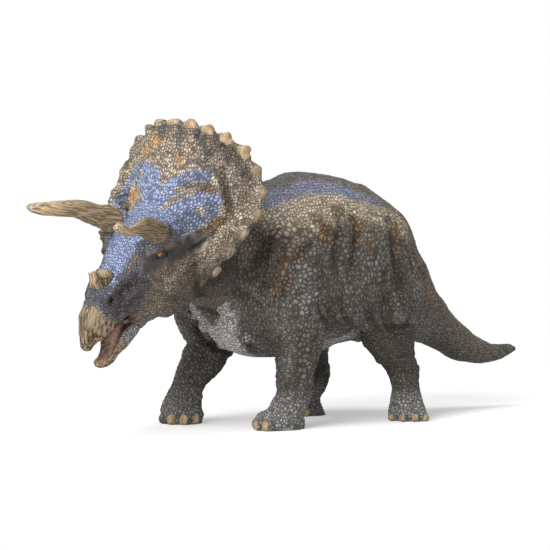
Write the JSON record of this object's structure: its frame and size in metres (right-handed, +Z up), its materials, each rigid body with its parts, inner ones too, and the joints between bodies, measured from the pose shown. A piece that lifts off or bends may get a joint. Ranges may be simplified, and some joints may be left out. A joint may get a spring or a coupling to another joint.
{
  "type": "toy dinosaur figure",
  "caption": "Walking three-horned dinosaur toy with a bony neck frill, a hooked beak, a hinged lower jaw and a tapering tail; stands on its flat soles.",
  "frame": {"origin": "on the ground, under the middle of the bounding box", "axes": "+X from the head to the tail, -Y the figure's left side, +Z up"},
  "size_m": [0.215, 0.0716, 0.1103],
  "materials": {
    "skin_body": "painted soft vinyl, scaly, dark wash with dry-brushed lights",
    "skin_head": "painted soft vinyl, fine scales, blue and cream patches on the frill",
    "skin_tail": "painted soft vinyl, fine scales",
    "skin_leg": "painted soft vinyl, scaly, tan nails",
    "skin_jaw": "painted soft vinyl, tan beak, pink-brown mouth",
    "horn": "painted hard vinyl with fine lengthwise grain",
    "eye": "glossy amber with a dark slit",
    "pin": "plain steel wire"
  },
  "bodies": {
    "figure": {"torso": "skin_body", "head": "skin_head", "tail": "skin_tail", "front_left_leg": "skin_leg", "front_right_leg": "skin_leg", "rear_left_leg": "skin_leg", "rear_right_leg": "skin_leg", "brow_horn_left": "horn", "brow_horn_right": "horn", "nose_horn": "horn", "eye_left": "eye", "eye_right": "eye", "jaw_pin": "pin"},
    "jaw": {"lower_jaw": "skin_jaw"}
  },
  "joints": [
    {"name": "jaw_hinge", "type": "hinge", "parent": "figure", "child": "jaw", "pos_m": [-0.06634, 0.00122, 0.04621], "axis": [0.1898, -0.9744, -0.1205], "range_deg": [-7, 8]}
  ]
}
